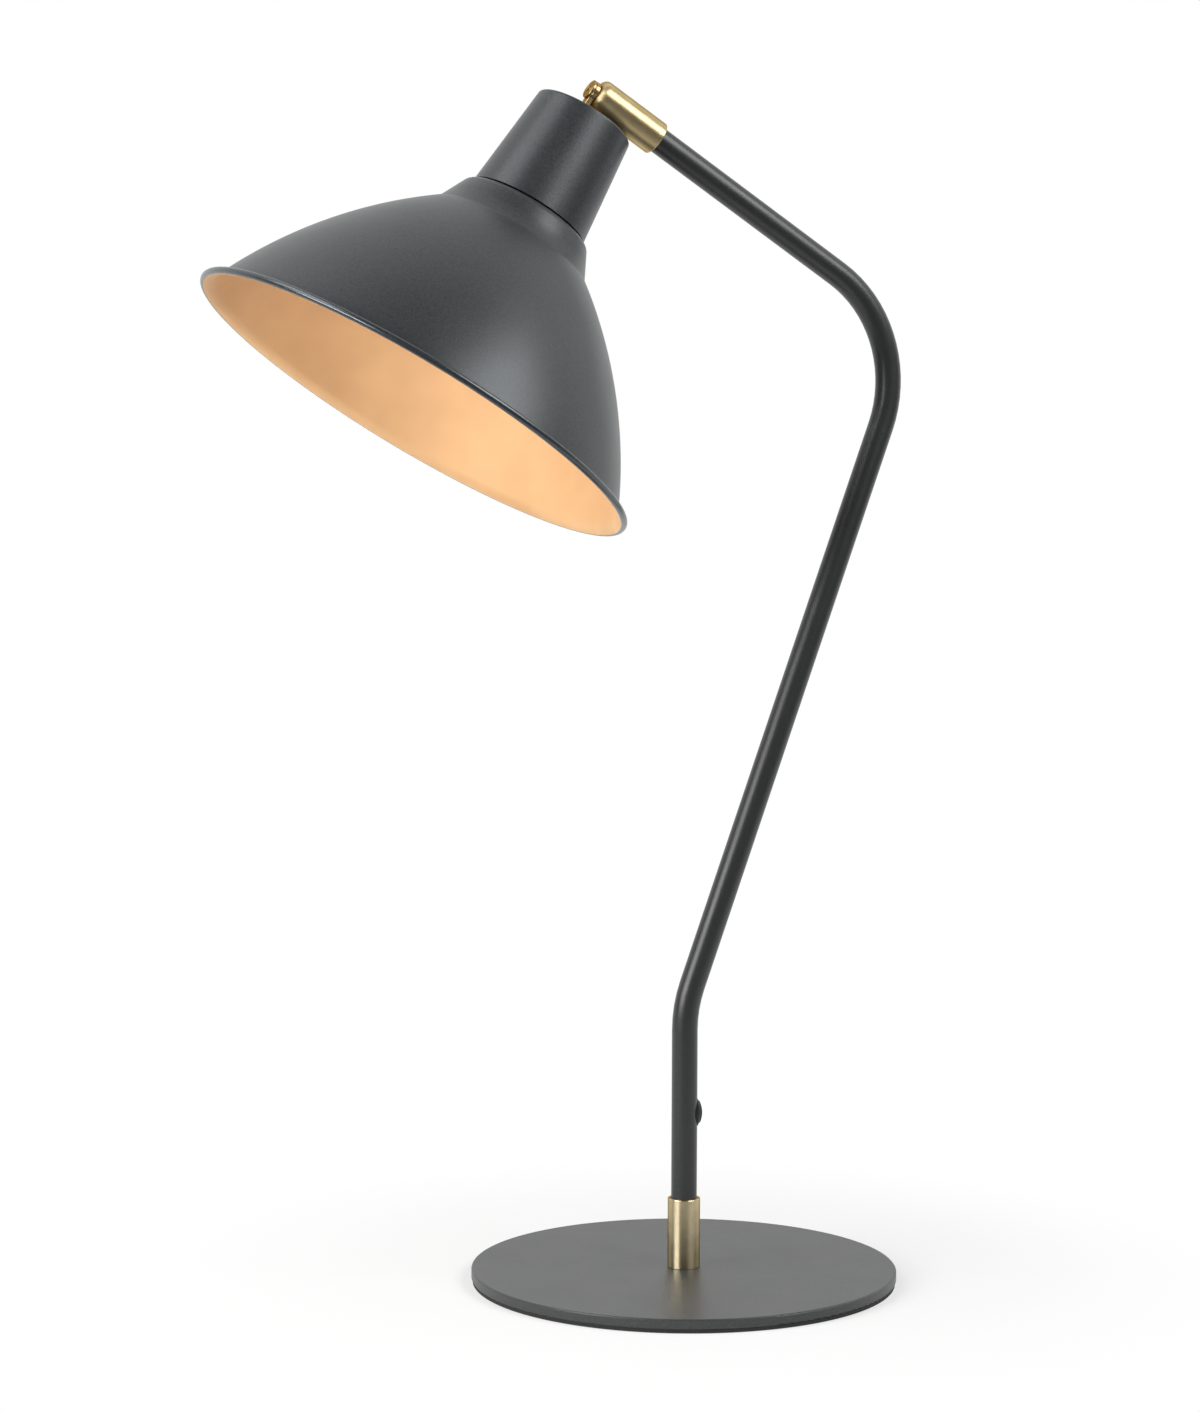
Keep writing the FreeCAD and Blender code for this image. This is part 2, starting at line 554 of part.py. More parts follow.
def shade():
    """Spun shade: one sheet of even thickness, with a bead rolled outwards round its mouth."""
    crease, belly, flare, bead = dome_profile()
    centre = circle_centre(crease, belly, flare)
    hole = HOLDER_TAIL_DIAMETER / 2 + FIT_GAP
    shoulder_edge = Vector(SHADE_SHOULDER_DIAMETER / 2, 0, SHADE_TOP)
    slope = (crease - shoulder_edge).normalize()
    across = Vector(slope.z, 0, -slope.x) * SHADE_SHEET

    # Inner corners: each outer corner moved in by the sheet's thickness
    inner_radius = (crease - centre).Length - SHADE_SHEET
    inner_start = crease + across
    along = (inner_start - centre).dot(slope)
    short_of = (inner_start - centre).dot(inner_start - centre) - inner_radius ** 2
    inner_crease = inner_start - slope * (along + math.sqrt(along ** 2 - short_of))
    inner_belly = toward(belly, centre, SHADE_SHEET)
    inner_flare = toward(flare, centre, SHADE_SHEET)
    inner_top = SHADE_TOP - SHADE_SHEET
    down_to_top = (inner_top - inner_start.z) / slope.z
    inner_shoulder = inner_start + slope * down_to_top

    # Bead: its foot is flush with the sheet's inner side, and its cove is where the outer side meets it
    bead_radius = SHADE_BEAD_DIAMETER / 2
    lip_centre, lip_radius = lip_circle(flare, centre, bead, bead_radius - SHADE_SHEET)
    inward = (bead - lip_centre).normalize()
    upward = Vector(inward.z, 0, -inward.x)
    apart = (bead - lip_centre).Length
    cove_along = (lip_radius ** 2 - bead_radius ** 2 + apart ** 2) / (2 * apart)
    cove_aside = math.sqrt(lip_radius ** 2 - cove_along ** 2)
    cove = lip_centre + inward * cove_along + upward * cove_aside
    bead_foot = bead + inward * bead_radius
    bead_crown = bead - ((cove - bead) + (bead_foot - bead)).normalize() * bead_radius
    lip_middle = toward(lip_centre, (flare + cove) * 0.5, lip_radius)
    inner_lip_middle = toward(lip_centre, (inner_flare + bead_foot) * 0.5, lip_radius + SHADE_SHEET)

    flat_outer = Vector(hole, 0, SHADE_TOP)
    flat_inner = Vector(hole, 0, inner_top)
    sides = [
        Part.LineSegment(flat_outer, shoulder_edge).toShape(),
        Part.LineSegment(shoulder_edge, crease).toShape(),
        Part.Arc(crease, belly, flare).toShape(),
        Part.Arc(flare, lip_middle, cove).toShape(),
        Part.Arc(cove, bead_crown, bead_foot).toShape(),
        Part.Arc(bead_foot, inner_lip_middle, inner_flare).toShape(),
        Part.Arc(inner_flare, inner_belly, inner_crease).toShape(),
        Part.LineSegment(inner_crease, inner_shoulder).toShape(),
        Part.LineSegment(inner_shoulder, flat_inner).toShape(),
        Part.LineSegment(flat_inner, flat_outer).toShape(),
    ]
    sheet = Part.Face(Part.Wire(sides)).revolve(ORIGIN, Z_AXIS, 360)
    inner_round = SHADE_SHOULDER_ROUND - SHADE_SHEET
    sheet = round_rims(sheet, SHADE_SHOULDER_ROUND, [(shoulder_edge.x, SHADE_TOP)])
    sheet = round_rims(sheet, inner_round, [(inner_shoulder.x, inner_top)])
    parts["shade"] = placed(sheet, HEAD_FRAME)

    ring_top = SHADE_TOP - SHADE_SHEET
    ring_low = ring_top - RING_HEIGHT
    clamp = ring(RING_DIAMETER, HOLDER_TAIL_DIAMETER + 2 * FIT_GAP, ring_low, ring_top)
    clamp = round_rims(clamp, RING_ROUND, [(RING_DIAMETER / 2, ring_low)])
    grip_radius = (RING_DIAMETER + RING_GRIP_DIAMETER) / 2 - RING_GRIP_DEPTH
    grips = []
    for i in range(RING_GRIPS):
        turn = 2 * math.pi * i / RING_GRIPS
        foot = Vector(grip_radius * math.cos(turn), grip_radius * math.sin(turn), ring_low)
        grips.append(rod(RING_GRIP_DIAMETER, foot, foot + Z_AXIS * RING_HEIGHT))
    parts["shade_ring"] = placed(clamp.cut(grips), HEAD_FRAME)


def lampholder():
    """Screw-shell lampholder: cap, skirt, ceramic insert, shell, contact and terminals."""
    radius = HOLDER_DIAMETER / 2
    thread = radius - HOLDER_WALL
    collar = HOLDER_COLLAR_DIAMETER / 2
    nipple = NIPPLE_DIAMETER / 2 + FIT_GAP
    shoulder = HOLDER_TOP - HOLDER_COLLAR_HEIGHT
    roof = HOLDER_TOP - HOLDER_CAP_ROOF
    cap = turned([
        (nipple, HOLDER_TOP),
        (collar, HOLDER_TOP),
        (collar, shoulder),
        (radius, shoulder - HOLDER_CAP_SLOPE),
        (radius, HOLDER_SPLIT),
        (thread, HOLDER_SPLIT),
        (thread, roof - HOLDER_CAP_SLOPE),
        (collar, roof),
        (nipple, roof),
    ])
    insert_bore = INSERT_DIAMETER / 2 + FIT_GAP
    socket = SOCKET_BORE / 2 + SOCKET_SHELL_WALL + SOCKET_CLEARANCE
    tail = HOLDER_TAIL_DIAMETER / 2
    flange = HOLDER_FLANGE_DIAMETER / 2
    flange_top = SHADE_TOP + HOLDER_FLANGE_HEIGHT
    tail_end = SHADE_TOP - HOLDER_TAIL_LENGTH
    skirt = turned([
        (insert_bore, INSERT_TOP),
        (thread - FIT_GAP, INSERT_TOP),
        (thread - FIT_GAP, HOLDER_SPLIT),
        (radius, HOLDER_SPLIT),
        (radius, flange_top),
        (flange, flange_top),
        (flange, SHADE_TOP),
        (tail, SHADE_TOP),
        (tail, tail_end),
        (socket, tail_end),
        (socket, INSERT_SEAT),
        (insert_bore, INSERT_SEAT),
    ])
    insert = rod(INSERT_DIAMETER, Vector(0, 0, INSERT_SEAT), Vector(0, 0, INSERT_TOP))
    shell_end = INSERT_SEAT - SOCKET_SHELL_LENGTH
    shell = ring(SOCKET_BORE + 2 * SOCKET_SHELL_WALL, SOCKET_BORE, shell_end, INSERT_SEAT)
    contact = rod(CONTACT_DIAMETER, Vector(0, 0, BULB_TOP), Vector(0, 0, INSERT_SEAT))
    terminals = []
    for side in (-1, 1):
        foot = Vector(0, side * TERMINAL_SPACING / 2, INSERT_TOP)
        terminals.append(rod(TERMINAL_DIAMETER, foot, foot + Z_AXIS * TERMINAL_HEIGHT))
    solids = {
        "holder_cap": cap,
        "holder_skirt": skirt,
        "holder_insert": insert,
        "holder_screw_shell": shell,
        "holder_contact": contact,
        "holder_terminals": Part.makeCompound(terminals),
    }
    for name, solid in solids.items():
        parts[name] = placed(solid, HEAD_FRAME)


def bulb_form(inset):
    """Globe and neck of the bulb, drawn in by an inset all round, but open at the cap."""
    globe = BULB_DIAMETER / 2 - inset
    neck = BULB_NECK_DIAMETER / 2 - inset
    hollow_radius = BULB_NECK_ROUND + inset
    centre = Vector(0, 0, BULB_TIP + BULB_DIAMETER / 2)
    # The hollow round between neck and globe touches both
    hollow_x = neck + hollow_radius
    hollow_rise = math.sqrt((globe + hollow_radius) ** 2 - hollow_x ** 2)
    hollow = centre + Vector(hollow_x, 0, hollow_rise)
    neck_top = Vector(neck, 0, BULB_CAP_END)
    neck_end = Vector(neck, 0, hollow.z)
    globe_start = toward(hollow, centre, hollow_radius)
    between = (neck_end + globe_start) * 0.5
    top = Vector(0, 0, BULB_CAP_END)
    tip = centre - Z_AXIS * globe
    sides = [
        Part.LineSegment(top, neck_top).toShape(),
        Part.LineSegment(neck_top, neck_end).toShape(),
        Part.Arc(neck_end, toward(hollow, between, hollow_radius), globe_start).toShape(),
        Part.Arc(globe_start, centre + X_AXIS * globe, tip).toShape(),
        Part.LineSegment(tip, top).toShape(),
    ]
    return Part.Face(Part.Wire(sides)).revolve(ORIGIN, Z_AXIS, 360)


def bulb():
    """Small globe bulb: screw cap, insulator with its contact, and the glass."""
    cap = BULB_CAP_DIAMETER / 2
    insulator = BULB_INSULATOR_DIAMETER / 2
    button = BULB_BUTTON_DIAMETER / 2
    button_low = BULB_TOP - BULB_BUTTON_HEIGHT
    cone_low = button_low - BULB_INSULATOR_HEIGHT
    metal = ring(BULB_CAP_DIAMETER, BULB_CAP_DIAMETER - 2 * BULB_CAP_WALL, BULB_CAP_END, cone_low)
    base_cone = turned([
        (0, cone_low),
        (cap, cone_low),
        (insulator, cone_low + BULB_CAP_WALL),
        (button, button_low),
        (button, BULB_TOP),
        (0, BULB_TOP),
    ])
    glass = bulb_form(0).cut(bulb_form(BULB_GLASS_WALL))
    parts["bulb_cap"] = placed(metal, HEAD_FRAME)
    parts["bulb_contact"] = placed(base_cone, HEAD_FRAME)
    parts["bulb_glass"] = placed(glass, HEAD_FRAME)


def wiring():
    """Inner lead from the switch up the tube, and the short lead inside the head."""
    start = Vector(0, 0, BASE_TOP + SWITCH_HEIGHT + SWITCH_BODY_LENGTH / 2)
    end = SWIVEL + ARM * (FERRULE_END - FERRULE_FLOOR / 2)
    path = bent_path([start, LOWER_CORNER, UPPER_CORNER, end], BEND_RADIUS)
    parts["stem_lead"] = round_sweep(path, LEAD_DIAMETER)
    top = Vector(-EYE_OFFSET, 0, -EYE_CHANNEL_DIAMETER / 2)
    head = rod(LEAD_DIAMETER, Vector(-EYE_OFFSET, 0, INSERT_TOP), top)
    parts["head_lead"] = placed(head, HEAD_FRAME)


base()
stem()
switch()
swivel()
cup()
shade()
lampholder()
bulb()
wiring()

os.makedirs("parts", exist_ok=True)
for name, shape in parts.items():
    shape.exportStep(os.path.join("parts", name + ".step"))
    print(name, "valid" if shape.isValid() else "INVALID", len(shape.Solids), round(shape.Volume, 1))
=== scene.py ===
import json
import math

import bmesh
import bpy
from mathutils import Matrix, Vector


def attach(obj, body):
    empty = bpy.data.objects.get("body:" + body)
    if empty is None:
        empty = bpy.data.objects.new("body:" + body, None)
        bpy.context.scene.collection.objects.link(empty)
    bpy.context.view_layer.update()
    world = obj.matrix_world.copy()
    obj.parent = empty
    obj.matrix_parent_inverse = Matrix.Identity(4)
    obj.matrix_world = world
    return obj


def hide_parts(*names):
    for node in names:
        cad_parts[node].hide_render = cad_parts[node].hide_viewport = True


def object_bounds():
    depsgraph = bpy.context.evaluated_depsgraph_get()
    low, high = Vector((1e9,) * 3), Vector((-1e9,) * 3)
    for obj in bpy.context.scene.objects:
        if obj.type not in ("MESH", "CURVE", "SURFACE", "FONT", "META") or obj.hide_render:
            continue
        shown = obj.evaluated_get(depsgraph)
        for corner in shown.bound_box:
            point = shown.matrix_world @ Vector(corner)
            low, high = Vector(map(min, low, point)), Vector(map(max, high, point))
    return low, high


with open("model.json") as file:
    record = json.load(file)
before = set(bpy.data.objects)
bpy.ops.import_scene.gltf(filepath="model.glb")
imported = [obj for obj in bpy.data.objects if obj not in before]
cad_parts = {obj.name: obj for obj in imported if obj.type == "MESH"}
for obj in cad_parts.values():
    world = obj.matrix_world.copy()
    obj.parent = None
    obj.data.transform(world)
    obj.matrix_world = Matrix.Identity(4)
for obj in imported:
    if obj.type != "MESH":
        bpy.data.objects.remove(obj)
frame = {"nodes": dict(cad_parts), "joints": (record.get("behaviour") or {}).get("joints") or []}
cad_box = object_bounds()
nodes = frame["nodes"]
joints = {joint["name"]: joint for joint in frame["joints"]}

scene = bpy.context.scene
scene.view_settings.view_transform = "Standard"

UP = Vector((0, 0, 1))
MM = 0.001
WHITE = (1.0, 1.0, 1.0, 1.0)

# Camera, fitted to the outlines in the photograph
CAMERA_PLACE = Vector((-0.800832, -1.689635, 0.460532))
CAMERA_YAW = -0.42
CAMERA_PITCH = -0.093578
CAMERA_ROLL = 0.003259
FOCAL_PIXELS = 3845.99
IMAGE_HEIGHT = 1412
SENSOR = 36.0
CLIP_START = 0.01

# The head's own frame: its origin on the arm's line, its Z up the cup, its X back along the arm
EYE_OFFSET = 3.0 * MM
SWIVEL = Vector(joints["head_swivel"]["pos_m"])
ARM = Vector(joints["head_swivel"]["axis"]).normalized()
ACROSS = Vector((0, 1, 0))
HEAD_TURN = Matrix((-ARM, ACROSS, ACROSS.cross(ARM))).transposed().to_4x4()
HEAD_FRAME = Matrix.Translation(SWIVEL - ARM * EYE_OFFSET) @ HEAD_TURN

# Shade, with heights measured down the head from the arm's line
SHADE_TOP = -67.3 * MM
SHADE_DEPTH = 108.7 * MM
SHADE_SHEET = 0.8 * MM
SHADE_HOLE = 19.55 * MM
SHOULDER_RADIUS = 32.55 * MM
SHOULDER_ROUND = 5.0 * MM
SHOULDER_HEIGHT = 15.65 * MM
CREASE_RADIUS = 40.2 * MM
RIM_RADIUS = 115.5 * MM
BEAD_RADIUS = 1.7 * MM
DOME_BULGE = 6.8 * MM
FLARE_HEIGHT = 5.0 * MM
FLARE_REACH = 4.8 * MM
# Angle round the bead at which the paint outside meets the copper inside
COPPER_EDGE = math.radians(-100)

# Mesh steps of the shade
SHADE_SEGMENTS = 256
SHOULDER_STEPS = 10
INNER_SHOULDER_STEPS = 8
DOME_STEPS = 48
LIP_STEPS = 24
BEAD_STEPS = 36

# Grain of the materials, in features per metre
PAINT_CLOUDS = 55.0
PAINT_GRAIN = 1000.0
COPPER_CLOUDS = 13.0
COPPER_GRAIN = 1500.0
BRASS_LINES = 700.0
BRASS_STAINS = 130.0
OPAL_CLOUDS = 40.0

# Height of the relief at full strength
PAINT_RELIEF = 0.0003
FINE_RELIEF = 0.0001

BRASS_ANISOTROPY = 0.85
ALONG_TANGENT = 0.25
BRASS_EDGE = (0.33, 0.26, 0.18, 1.0)

# Studio
AMBIENT = 0.22
ROOM = 0.13
BACKDROP_SIDE = Vector((0.4, 0.88, 0.2)).normalized()
BACKDROP_FADE = 0.5
FLOOR_RADIUS = 2.4
FLOOR_SEGMENTS = 96
FLOOR_BACK = 1.95
FLOOR_GAP = 0.0002
FLOOR_COLOUR = (0.88, 0.88, 0.88, 1.0)
FLOOR_ROUGHNESS = 0.9
FLOOR_SHADOW = 0.45
FLOOR_SHADOW_START = 0.1
FLOOR_SHADOW_REACH = 0.3
LIGHT_AIM = Vector((-0.05, 0, 0.42))


def set_camera():
    """Camera at the photograph's place and angle."""
    forward = Vector((
        math.sin(-CAMERA_YAW) * math.cos(CAMERA_PITCH),
        math.cos(CAMERA_YAW) * math.cos(CAMERA_PITCH),
        math.sin(CAMERA_PITCH)))
    level = forward.cross(UP).normalized()
    upright = level.cross(forward)
    right = level * math.cos(CAMERA_ROLL) + upright * math.sin(CAMERA_ROLL)
    above = upright * math.cos(CAMERA_ROLL) - level * math.sin(CAMERA_ROLL)
    lens = bpy.data.cameras.new("camera")
    lens.sensor_width = SENSOR
    lens.lens = FOCAL_PIXELS / IMAGE_HEIGHT * SENSOR
    lens.clip_start = CLIP_START
    camera = bpy.data.objects.new("camera", lens)
    turn = Matrix((right, above, -forward)).transposed().to_4x4()
    camera.matrix_world = Matrix.Translation(CAMERA_PLACE) @ turn
    scene.collection.objects.link(camera)
    scene.camera = camera


def rgb(red, green, blue):
    return (red, green, blue, 1.0)


def set_inputs(node, inputs):
    """Set values on a node's sockets. Names use _ for a space."""
    for name, value in inputs.items():
        node.inputs[name.replace("_", " ")].default_value = value


def add_node(tree, kind, **inputs):
    """New node with the given values on its sockets."""
    node = tree.nodes.new(kind)
    set_inputs(node, inputs)
    return node


def new_material(name, **inputs):
    """Material with a Principled shader whose sockets have the given values."""
    material = bpy.data.materials.new(name)
    material.use_nodes = True
    tree = material.node_tree
    surface = tree.nodes["Principled BSDF"]
    set_inputs(surface, inputs)
    return material, tree, surface


def ramp(tree, factor, dark, light, low=0.3, high=0.7):
    """Colour that goes from dark to light while the factor goes from low to high."""
    node = tree.nodes.new("ShaderNodeValToRGB")
    first, last = node.color_ramp.elements
    first.position = low
    first.color = dark
    last.position = high
    last.color = light
    tree.links.new(factor, node.inputs["Fac"])
    return node.outputs["Color"]


def spread(tree, factor, low, high):
    """Factor from 0 to 1 turned into a number from low to high."""
    node = add_node(tree, "ShaderNodeMapRange", To_Min=low, To_Max=high)
    tree.links.new(factor, node.inputs["Value"])
    return node.outputs["Result"]


def fade(tree, value, start, end, low, high):
    """Number that goes smoothly from low to high while the value goes from start to end."""
    node = add_node(
        tree, "ShaderNodeMapRange", From_Min=start, From_Max=end, To_Min=low, To_Max=high)
    node.interpolation_type = "SMOOTHSTEP"
    tree.links.new(value, node.inputs["Value"])
    return node.outputs["Result"]


def noise(tree, scale, detail):
    """Noise on the piece's own coordinates, with so many features per metre."""
    place = tree.nodes.new("ShaderNodeTexCoord").outputs["Object"]
    node = add_node(tree, "ShaderNodeTexNoise", Scale=scale, Detail=detail)
    tree.links.new(place, node.inputs["Vector"])
    return node.outputs["Fac"]


def vector_math(tree, operation, first, second=None):
    """Output of a vector operation on a socket and, where it takes one, a fixed vector."""
    node = tree.nodes.new("ShaderNodeVectorMath")
    node.operation = operation
    tree.links.new(first, node.inputs[0])
    if second is not None:
        node.inputs[1].default_value = second
    gives_number = operation in ("DOT_PRODUCT", "LENGTH")
    return node.outputs["Value" if gives_number else "Vector"]


def combine(tree, operation, first, second):
    """Output of an operation on two numbers."""
    node = tree.nodes.new("ShaderNodeMath")
    node.operation = operation
    tree.links.new(first, node.inputs[0])
    tree.links.new(second, node.inputs[1])
    return node.outputs["Value"]


def mix_shaders(tree, factor, first, second):
    """First shader where the factor is 0, second where it is 1."""
    node = tree.nodes.new("ShaderNodeMixShader")
    tree.links.new(factor, node.inputs["Fac"])
    tree.links.new(first, node.inputs[1])
    tree.links.new(second, node.inputs[2])
    return node.outputs["Shader"]


def bump(tree, surface, height, strength, distance):
    """Relief on a surface."""
    node = add_node(tree, "ShaderNodeBump", Strength=strength, Distance=distance)
    tree.links.new(height, node.inputs["Height"])
    tree.links.new(node.outputs["Normal"], surface.inputs["Normal"])


def paint(name, dark, light, rough, specular, relief, sheen=WHITE):
    """Satin powder coat: a fine grain of shade and relief, with slight clouds of gloss."""
    material, tree, surface = new_material(name, Specular_IOR_Level=specular, Specular_Tint=sheen)
    cloud = noise(tree, PAINT_CLOUDS, 3.0)
    grain = noise(tree, PAINT_GRAIN, 2.0)
    tree.links.new(ramp(tree, grain, dark, light), surface.inputs["Base Color"])
    tree.links.new(spread(tree, cloud, *rough), surface.inputs["Roughness"])
    bump(tree, surface, grain, relief, PAINT_RELIEF)
    return material


def copper_paint():
    """Satin copper lacquer inside the shade, sprayed in soft clouds."""
    material, tree, surface = new_material("copper_lacquer", Metallic=0.25, Specular_IOR_Level=0.6)
    cloud = noise(tree, COPPER_CLOUDS, 3.0)
    grain = noise(tree, COPPER_GRAIN, 2.0)
    dark = rgb(0.68, 0.40, 0.185)
    light = rgb(0.89, 0.56, 0.285)
    tree.links.new(ramp(tree, cloud, dark, light, 0.34, 0.66), surface.inputs["Base Color"])
    tree.links.new(spread(tree, cloud, 0.56, 0.68), surface.inputs["Roughness"])
    bump(tree, surface, grain, 0.1, FINE_RELIEF)
    return material


def turned_brass(name, centre, axis, dark, light, rough):
    """Brass turned about an axis: fine lines round it, which draw reflections out, and faint stains."""
    material, tree, surface = new_material(
        name, Metallic=1.0, Specular_Tint=BRASS_EDGE,
        Anisotropic=BRASS_ANISOTROPY, Anisotropic_Rotation=ALONG_TANGENT)
    along = vector_math(
        tree, "DOT_PRODUCT", tree.nodes.new("ShaderNodeTexCoord").outputs["Object"], axis)
    spoke = vector_math(
        tree, "SUBTRACT", tree.nodes.new("ShaderNodeNewGeometry").outputs["Position"], centre)
    tree.links.new(vector_math(tree, "CROSS_PRODUCT", spoke, axis), surface.inputs["Tangent"])
    lines = tree.nodes.new("ShaderNodeTexNoise")
    lines.noise_dimensions = "1D"
    set_inputs(lines, {"Scale": BRASS_LINES, "Detail": 3.0})
    tree.links.new(along, lines.inputs["W"])
    stain = noise(tree, BRASS_STAINS, 4.0)
    tree.links.new(ramp(tree, stain, dark, light, high=0.72), surface.inputs["Base Color"])
    tree.links.new(spread(tree, lines.outputs["Fac"], *rough), surface.inputs["Roughness"])
    return material


def plain(name, dark, light, rough, scale, relief, metallic=0.0, specular=0.5):
    """Material with a grain of one size in its colour, gloss and relief."""
    material, tree, surface = new_material(name, Metallic=metallic, Specular_IOR_Level=specular)
    grain = noise(tree, scale, 3.0)
    tree.links.new(ramp(tree, grain, dark, light), surface.inputs["Base Color"])
    tree.links.new(spread(tree, grain, *rough), surface.inputs["Roughness"])
    bump(tree, surface, grain, relief, FINE_RELIEF)
    return material


def opal_glass():
    """Milky glass of the unlit bulb."""
    material, tree, surface = new_material(
        "opal_glass", Subsurface_Weight=0.25, Subsurface_Scale=0.004)
    cloud = noise(tree, OPAL_CLOUDS, 2.0)
    colour = ramp(tree, cloud, rgb(0.84, 0.83, 0.80), rgb(0.89, 0.88, 0.85))
    tree.links.new(colour, surface.inputs["Base Color"])
    tree.links.new(spread(tree, cloud, 0.12, 0.2), surface.inputs["Roughness"])
    return material


def arc(first, middle, last, steps):
    """Points of the circle arc through three points, the first left out, and its centre."""
    ax, ay = first
    bx, by = middle
    cx, cy = last
    d = 2 * (ax * (by - cy) + bx * (cy - ay) + cx * (ay - by))
    a2 = ax * ax + ay * ay
    b2 = bx * bx + by * by
    c2 = cx * cx + cy * cy
    centre = Vector((
        (a2 * (by - cy) + b2 * (cy - ay) + c2 * (ay - by)) / d,
        (a2 * (cx - bx) + b2 * (ax - cx) + c2 * (bx - ax)) / d))
    radius = (first - centre).length
    start = math.atan2(ay - centre.y, ax - centre.x)
    sweep = math.atan2(cy - centre.y, cx - centre.x) - start
    sweep = (sweep + math.pi) % (2 * math.pi) - math.pi
    turns = [start + sweep * (i + 1) / steps for i in range(steps)]
    return [centre + Vector((math.cos(a), math.sin(a))) * radius for a in turns], centre


def corner_round(before, corner, after, radius, steps):
    """Points that round a corner of a profile."""
    back = (before - corner).normalized()
    on = (after - corner).normalized()
    half = back.angle(on) / 2
    reach = radius / math.tan(half)
    start = corner + back * reach
    centre = corner + (back + on).normalized() * (radius / math.sin(half))
    middle = centre + (corner - centre).normalized() * radius
    points, _ = arc(start, middle, corner + on * reach, steps)
    return [start] + points


def offset(points, centre, distance):
    """Points moved away from a centre."""
    return [p + (p - centre).normalized() * distance for p in points]


def shade_profile():
    """Outline of the shade's sheet, once round, and the indices where its bead and copper start."""
    mouth = SHADE_TOP - SHADE_DEPTH
    top_edge = Vector((SHADE_HOLE, SHADE_TOP))
    shoulder = Vector((SHOULDER_RADIUS, SHADE_TOP))
    crease = Vector((CREASE_RADIUS, SHADE_TOP - SHOULDER_HEIGHT))
    bead = Vector((RIM_RADIUS - BEAD_RADIUS, mouth + BEAD_RADIUS))
    flare = Vector((bead.x - FLARE_REACH, mouth + FLARE_HEIGHT))
    chord = flare - crease
    outward = Vector((-chord.y, chord.x)).normalized()
    belly = (crease + flare) / 2 + outward * DOME_BULGE
    dome, dome_centre = arc(crease, belly, flare, DOME_STEPS)
    spoke = (flare - dome_centre).normalized()
    # The lip carries on from the dome, and its inner side touches the bead's circle
    inset = BEAD_RADIUS - SHADE_SHEET
    way = bead - flare
    lip_radius = (way.dot(way) - inset ** 2) / (2 * (way.dot(spoke) - inset))
    lip_centre = flare + spoke * lip_radius
    lip_end = lip_centre + (bead - lip_centre).normalized() * lip_radius
    lip_middle = lip_centre + ((flare + lip_end) / 2 - lip_centre).normalized() * lip_radius
    lip, _ = arc(flare, lip_middle, lip_end, LIP_STEPS)

    slope = (crease - shoulder).normalized()
    across = Vector((slope.y, -slope.x)) * SHADE_SHEET
    inner_top = SHADE_TOP - SHADE_SHEET
    inner_shoulder = shoulder + across
    inner_shoulder += slope * (inner_top - inner_shoulder.y) / slope.y
    inner_dome = offset([crease] + dome, dome_centre, -SHADE_SHEET)
    inner_lip = offset(lip, lip_centre, SHADE_SHEET)

    outer = [top_edge]
    outer += corner_round(top_edge, shoulder, crease, SHOULDER_ROUND, SHOULDER_STEPS)
    outer += [shoulder.lerp(crease, 0.5)]
    outer += [crease] + dome
    outer += [p for p in lip if (p - bead).length > BEAD_RADIUS]
    inner = list(reversed(inner_lip)) + list(reversed(inner_dome))
    inner_edge = Vector((SHADE_HOLE, inner_top))
    inner_round = SHOULDER_ROUND - SHADE_SHEET
    inner += corner_round(inner_dome[0], inner_shoulder, inner_edge, inner_round, INNER_SHOULDER_STEPS)
    inner += [inner_edge]

    start = math.atan2(outer[-1].y - bead.y, outer[-1].x - bead.x)
    end = math.atan2(inner[0].y - bead.y, inner[0].x - bead.x)
    if start < end:
        start += 2 * math.pi
    turns = [start + (end - start) * (i + 0.5) / BEAD_STEPS for i in range(BEAD_STEPS)]
    rolled = [bead + Vector((math.cos(a), math.sin(a))) * BEAD_RADIUS for a in turns]
    bead_at = len(outer)
    copper_at = bead_at + sum(1 for a in turns if a > COPPER_EDGE)
    return outer + rolled + inner, bead_at, copper_at


def lathe(name, profile, segments, place):
    """Closed mesh of a closed outline turned about Z, set in a frame. Faces follow the outline."""
    mesh = bmesh.new()
    rings = []
    for i in range(segments):
        turn = 2 * math.pi * i / segments
        rings.append([
            mesh.verts.new((p.x * math.cos(turn), p.x * math.sin(turn), p.y)) for p in profile])
    count = len(profile)
    for i in range(segments):
        here = rings[i]
        there = rings[(i + 1) % segments]
        for j in range(count):
            k = (j + 1) % count
            face = mesh.faces.new((here[j], here[k], there[k], there[j]))
            face.smooth = True
    bmesh.ops.recalc_face_normals(mesh, faces=mesh.faces)
    data = bpy.data.meshes.new(name)
    mesh.to_mesh(data)
    mesh.free()
    data.transform(place)
    piece = bpy.data.objects.new(name, data)
    scene.collection.objects.link(piece)
    return piece


def make_shade(outside, inside, rim):
    """The shade's sheet, painted outside, copper inside, with a glossier bead."""
    profile, bead_at, copper_at = shade_profile()
    shade = lathe("shade_sheet", profile, SHADE_SEGMENTS, HEAD_FRAME)
    for material in (outside, inside, rim):
        shade.data.materials.append(material)
    count = len(profile)
    for index, face in enumerate(shade.data.polygons):
        if index % count >= copper_at:
            face.material_index = 1
        elif index % count >= bead_at:
            face.material_index = 2
    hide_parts("shade")
    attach(shade, "head")


def dress(material, *names):
    """Give CAD nodes a material."""
    for name in names:
        for slot in nodes[name].material_slots:
            slot.material = material


